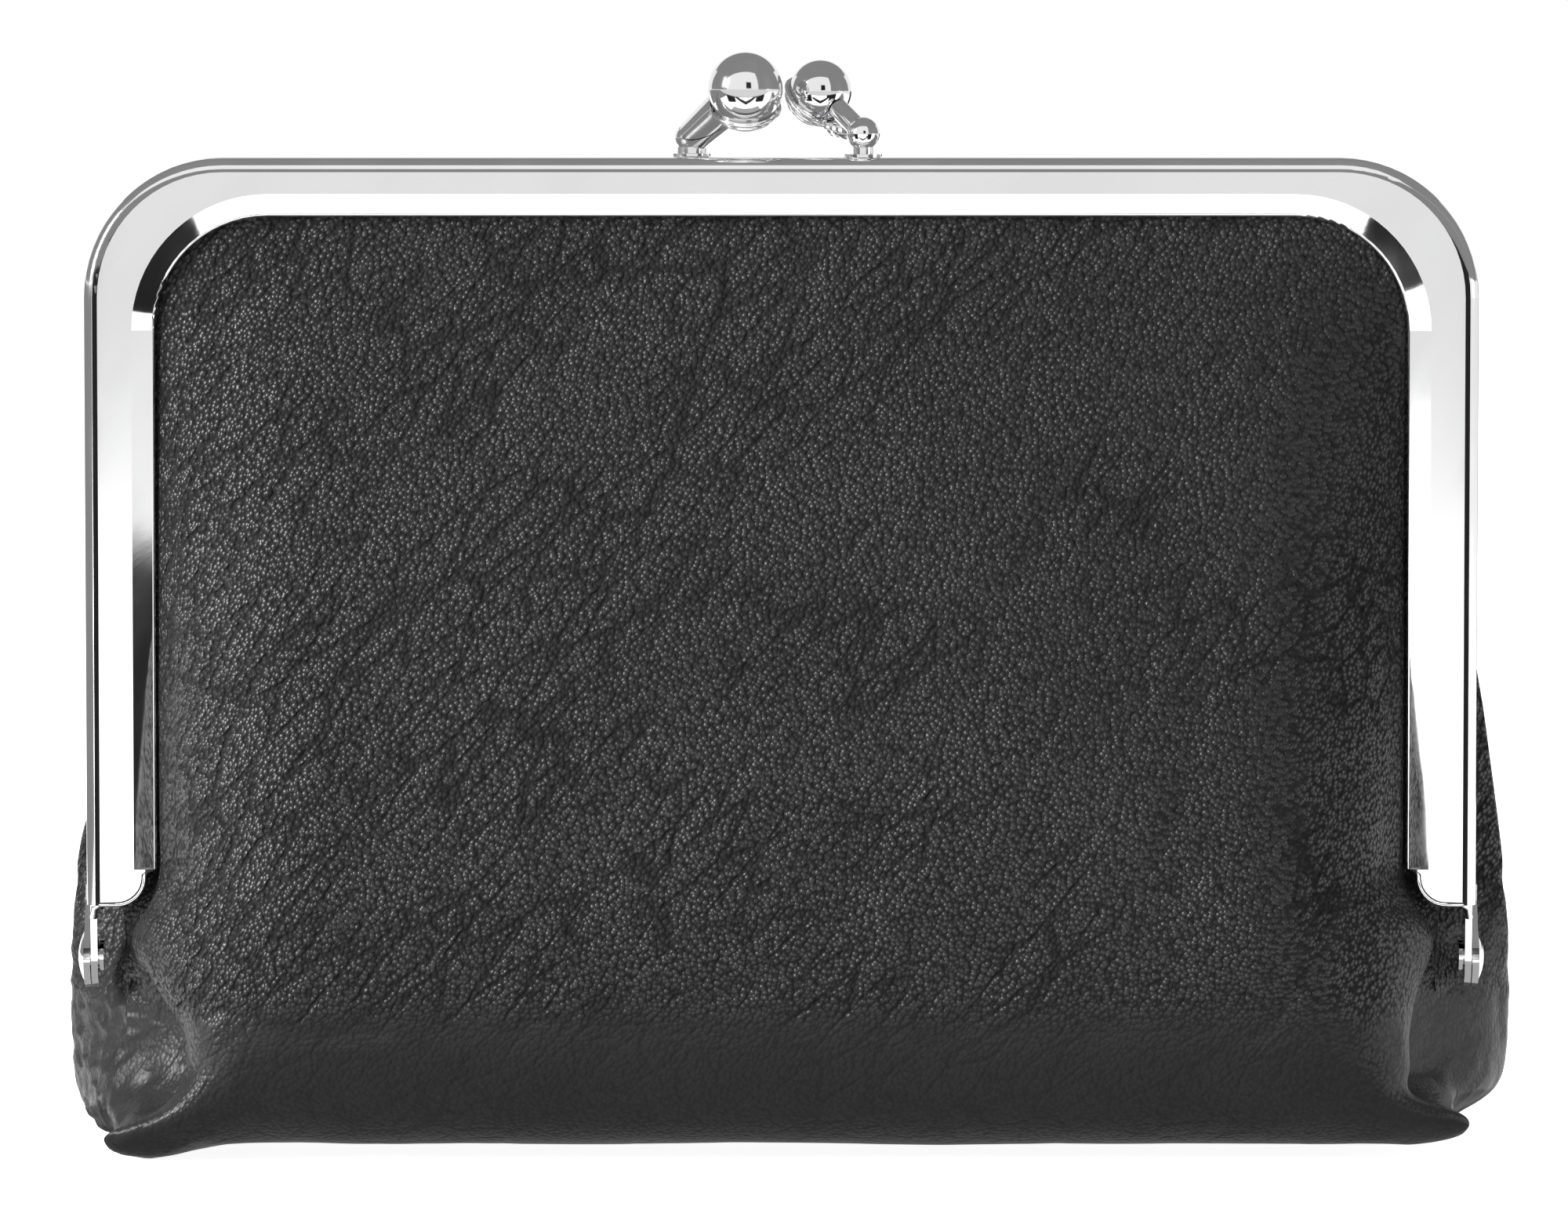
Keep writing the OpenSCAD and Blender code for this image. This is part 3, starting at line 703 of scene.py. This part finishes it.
def chrome_material():
    """Polished plate with faint smears and hairline scratches."""
    n = new_material("polished_chrome")
    place = n.add("ShaderNodeTexCoord").outputs["Object"]
    smear = n.noise(n.drawn_out(place, 3, 60), 190, 3.0)
    scratch = n.noise(n.drawn_out(place, 16, 35), 2600, 2.0)
    wave = n.noise(place, 130, 1.0)
    return n.finish(
        Base_Color=n.colours(smear, (0.78, 0.78, 0.785), (0.84, 0.84, 0.845)),
        Metallic=1.0,
        Roughness=n.to_range(smear, 0.35, 0.75, 0.045, 0.11),
        Normal=n.bump(scratch, 0.05, 0.00001, n.bump(wave, 0.12, 0.00006)),
    )


def paper_material():
    """Brown paper twisted to a cord."""
    n = new_material("paper_cord")
    place = n.add("ShaderNodeTexCoord").outputs["Object"]
    twist = n.noise(n.drawn_out(place, 2, 45), 1500, 3.0)
    return n.finish(
        Base_Color=n.colours(twist, (0.42, 0.34, 0.23), (0.62, 0.54, 0.42)),
        Roughness=0.85,
        Normal=n.bump(twist, 0.5, 0.0001),
    )


leather = leather_material()
lining = lining_material()
chrome = chrome_material()
paper = paper_material()

# Leather and lining: the two halves share their normals along the seam, so that they meet

bases = {jaw: surface(control_net(jaw)) for jaw in JAW_SIGN}
outwards = {jaw: normals(bases[jaw], -JAW_SIGN[jaw]) for jaw in JAW_SIGN}
seam_rows = (len(SEAM) - 1) * ROW_STEPS
for part in ((slice(seam_rows), 0), (slice(seam_rows), -1), (0, slice(None))):
    shared = outwards["front"][part] + outwards["rear"][part]
    shared /= np.maximum(np.linalg.norm(shared, axis=-1, keepdims=True), 1e-9)
    for jaw in JAW_SIGN:
        outwards[jaw][part] = shared

for jaw in JAW_SIGN:
    base, outward = bases[jaw], outwards[jaw]
    outer = wrinkled(base, outward, jaw)
    skin = shell(jaw + "_leather_skin", outer, outer - outward * LEATHER_T, jaw, leather)
    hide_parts(jaw + "_leather", "base_leather", "left_corner_fold", "right_corner_fold")
    base, outward = base[::LINING_EVERY, ::LINING_EVERY], outward[::LINING_EVERY, ::LINING_EVERY]
    outer = base - outward * (LEATHER_T + LAYER_GAP)
    cloth = shell(jaw + "_lining_skin", outer, outer - outward * LINING_T, jaw, lining)
    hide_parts(jaw + "_lining", "base_lining")

# Metal and cord from the frame

for name, obj in frame["nodes"].items():
    if obj.hide_render:
        continue
    obj.data.materials.clear()
    obj.data.materials.append(paper if "cord" in name else chrome)
    obj.data.shade_smooth()

# Rolled lip round the notch at each end of the frame halves: the bends at its start and end are
# offsets (half-width, depth, height) from the notch's top and from the arm's lower edge

LIP_R = 0.34
LIP_IN = 0.18
LIP_BACK = 0.3
NOTCH_Z = hinge_z + 8.4
NOTCH_STEP = 0.9
END_Z = hinge_z + 5.1
END_R = 2.6
BAND_DROP = 0.85
NOTCH_BEND = [
    (0, -BAND_DROP, 0.1), (0.1, -BAND_DROP, -0.1), (NOTCH_STEP - 0.2, 0, -0.15), (NOTCH_STEP, 0, -0.5),
]
ARM_BEND = [(-1.3, 0, LIP_IN), (-0.75, -0.3, -0.25), (-0.6, -0.7, -1.2)]
ARC_STEPS = 8


def lip_path():
    """Points of one lip, as (half-width, depth, height)."""
    x, depth = opening_w + LIP_IN, face_depth - LIP_BACK
    points = [(x + dx, depth + dy, NOTCH_Z + dz) for dx, dy, dz in NOTCH_BEND]
    centre_x, centre_z = opening_w + NOTCH_STEP + END_R, END_Z + END_R
    for k in range(ARC_STEPS + 1):
        angle = math.pi * (1 + k / ARC_STEPS / 2)
        r = END_R - LIP_IN
        points.append((centre_x + r * math.cos(angle), depth, centre_z + r * math.sin(angle)))
    return points + [(half_w + dx, depth + dy, END_Z + dz) for dx, dy, dz in ARM_BEND]


def lip_end(jaw, side):
    path = lip_path()
    curve = bpy.data.curves.new(f"{jaw}_{side}_lip_end", "CURVE")
    curve.dimensions = "3D"
    curve.bevel_depth = LIP_R * MM
    curve.bevel_resolution = 4
    curve.use_fill_caps = True
    curve.materials.append(chrome)
    line = curve.splines.new("POLY")
    line.points.add(len(path) - 1)
    for point, (x, depth, z) in zip(line.points, path):
        point.co = (SIDE_SIGN[side] * x * MM, JAW_SIGN[jaw] * depth * MM, z * MM, 1)
    lip = bpy.data.objects.new(curve.name, curve)
    bpy.context.scene.collection.objects.link(lip)
    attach(lip, jaw + "_jaw")


for jaw in JAW_SIGN:
    for side in SIDE_SIGN:
        lip_end(jaw, side)

# Camera: the photograph's centre, and how many of its pixels make a millimetre at the frame's face

PHOTO_W, PHOTO_H = 2000, 1557
PHOTO_PX_PER_MM = 14.0
PHOTO_ZERO_X = 996.5
PHOTO_GROUND_Y = 1476
LENS_MM = 200
SENSOR_MM = 36
CAMERA_ELEVATION = math.radians(4)

target = Vector((
    (PHOTO_W / 2 - PHOTO_ZERO_X) / PHOTO_PX_PER_MM * MM,
    -face_depth * MM,
    (PHOTO_GROUND_Y - PHOTO_H / 2) / PHOTO_PX_PER_MM * MM,
))
view_w = PHOTO_W / PHOTO_PX_PER_MM * MM
distance = view_w * LENS_MM / SENSOR_MM
away = Vector((0, -math.cos(CAMERA_ELEVATION), math.sin(CAMERA_ELEVATION)))
camera_data = bpy.data.cameras.new("camera")
camera_data.lens = LENS_MM
camera_data.sensor_width = SENSOR_MM
camera_data.clip_start = 0.01
camera = bpy.data.objects.new("camera", camera_data)
camera.location = target + distance * away
camera.rotation_euler = (math.pi / 2 - CAMERA_ELEVATION, 0, 0)
bpy.context.scene.collection.objects.link(camera)
bpy.context.scene.camera = camera

# Floor and world: both glow white to the camera and light the bag less than that

FLOOR_SIZE = 12
FLOOR_Z = -0.0002
FLOOR_GLOW = 0.92
MIRRORED_FLOOR_GLOW = 0.5
WORLD_LIGHT = 0.45
WHITE = (1, 1, 1, 1)


def plane(name, size, location, rotation=(0, 0, 0)):
    w, h = size[0] / 2, size[1] / 2
    mesh = bpy.data.meshes.new(name)
    mesh.from_pydata([(-w, -h, 0), (w, -h, 0), (w, h, 0), (-w, h, 0)], [], [(0, 1, 2, 3)])
    obj = bpy.data.objects.new(name, mesh)
    obj.location = location
    obj.rotation_euler = rotation
    bpy.context.scene.collection.objects.link(obj)
    return obj


def floor_material():
    n = new_material("pale_floor")
    rays = n.add("ShaderNodeLightPath").outputs
    mirrored = n.math("MULTIPLY", rays["Is Glossy Ray"], MIRRORED_FLOOR_GLOW)
    return n.finish(
        Base_Color=(0.86, 0.86, 0.86, 1),
        Roughness=0.9,
        Specular_IOR_Level=0.1,
        Emission_Color=WHITE,
        Emission_Strength=n.math("MULTIPLY_ADD", rays["Is Camera Ray"], FLOOR_GLOW, mirrored),
    )


def studio_world():
    """White to the camera, in reflections and through glass."""
    n = Nodes(bpy.data.worlds.new("world"), "Background")
    rays = n.add("ShaderNodeLightPath").outputs
    shown = n.math("MAXIMUM", rays["Is Camera Ray"], rays["Is Glossy Ray"])
    shown = n.math("MAXIMUM", shown, rays["Is Transmission Ray"])
    return n.finish(Color=WHITE, Strength=n.to_range(shown, 0.0, 1.0, WORLD_LIGHT, 1.0))


floor = plane("floor", (FLOOR_SIZE, FLOOR_SIZE), (0, 0, FLOOR_Z))
floor.data.materials.append(floor_material())
bpy.context.scene.world = studio_world()

# Lamps: a large soft one on the left, a weaker one on the right, and one above

BAG_MIDDLE = (0, 0, 0.05)


def area_lamp(name, size, power, location):
    light = bpy.data.lights.new(name, "AREA")
    light.shape = "RECTANGLE"
    light.size, light.size_y = size
    light.energy = power
    obj = bpy.data.objects.new(name, light)
    obj.location = location
    aim = Vector(BAG_MIDDLE) - Vector(location)
    obj.rotation_euler = aim.to_track_quat("-Z", "Y").to_euler()
    bpy.context.scene.collection.objects.link(obj)


area_lamp("key_lamp", (0.35, 0.45), 24.0, (-0.88, -0.36, 0.4))
area_lamp("fill_lamp", (0.3, 0.5), 1.2, (0.8, -0.2, 0.3))
area_lamp("top_lamp", (0.8, 0.5), 3.0, (0, -0.1, 0.9))

# Cards that only reflections see, as a photographer sets them to draw the metal's edges. Low ones are
# for the frame's arms and high ones for the balls, and two lie between them at the frame's top.

LOW_CARD_H = 0.09
HIGH_CARD_Z = 0.095
ON_FLOOR_Z = 0.0003
EDGE_CARD_Z = 0.0932
BALL_CARD_Z = 0.0935


def card_material(name, tone):
    return new_material(name).finish(
        Base_Color=(0, 0, 0, 1), Specular_IOR_Level=0.0, Emission_Color=WHITE, Emission_Strength=tone
    )


black = card_material("black_card", 0.02)
grey = card_material("grey_card", 0.27)
dim = card_material("dim_card", 0.45)
pale = card_material("pale_card", 0.8)


def hang(name, start, end, height, z, tilt, material):
    """A card along a line of the floor plan, tilted out of the level by an angle."""
    start, end = Vector(start), Vector(end)
    turn = math.atan2(end.y - start.y, end.x - start.x)
    card = plane(name, ((end - start).length, height), (*((start + end) / 2), z), (tilt, 0, turn))
    card.data.materials.append(material)
    card.visible_camera = False
    card.visible_diffuse = False
    card.visible_shadow = False
    card.visible_transmission = False


def upright_card(name, start, end, low, high, material):
    hang(name, start, end, high - low, (low + high) / 2, math.pi / 2, material)


def flat_card(name, start, end, width, z, material):
    hang(name, start, end, width, z, 0, material)


upright_card("left_near_card", (-0.072, -0.106), (-0.134, -0.072), 0, LOW_CARD_H, black)
upright_card("right_near_card", (0.072, -0.106), (0.134, -0.072), 0, LOW_CARD_H, black)
upright_card("left_side_card", (-0.3, -0.2), (-0.2, 0.25), 0, LOW_CARD_H, grey)
upright_card("right_low_card", (0.098, -0.216), (0.158, -0.15), 0, 0.04, black)
upright_card("right_back_card", (0.24, 0.3), (0.1, 0.36), 0, LOW_CARD_H, black)
flat_card("right_floor_card", (-0.01, -0.1025), (0.8, -0.72), 0.036, ON_FLOOR_Z, black)
flat_card("left_floor_card", (0.01, -0.1025), (-0.12, -0.202), 0.036, ON_FLOOR_Z, black)
flat_card("base_card", (-0.07, -0.018), (0.07, -0.018), 0.075, ON_FLOOR_Z, dim)

flat_card("edge_card", (-0.2, -0.156), (0.2, -0.156), 0.288, EDGE_CARD_Z, grey)
flat_card("ball_card", (-0.2, -0.156), (0.2, -0.156), 0.288, BALL_CARD_Z, pale)

upright_card("left_high_card", (-0.26, -0.15), (-0.26, 0.2), HIGH_CARD_Z, 0.5, grey)
upright_card("right_high_card", (0.2, -0.24), (0.28, 0.2), HIGH_CARD_Z, 0.5, grey)
upright_card("camera_card", (0.02, -0.5), (0.16, -0.5), 0.12, 0.3, black)
flat_card("top_card", (-0.3, 0.12), (0.3, 0.12), 0.5, 0.28, grey)

bpy.context.scene.view_settings.view_transform = "Standard"

bpy.context.view_layer.update()
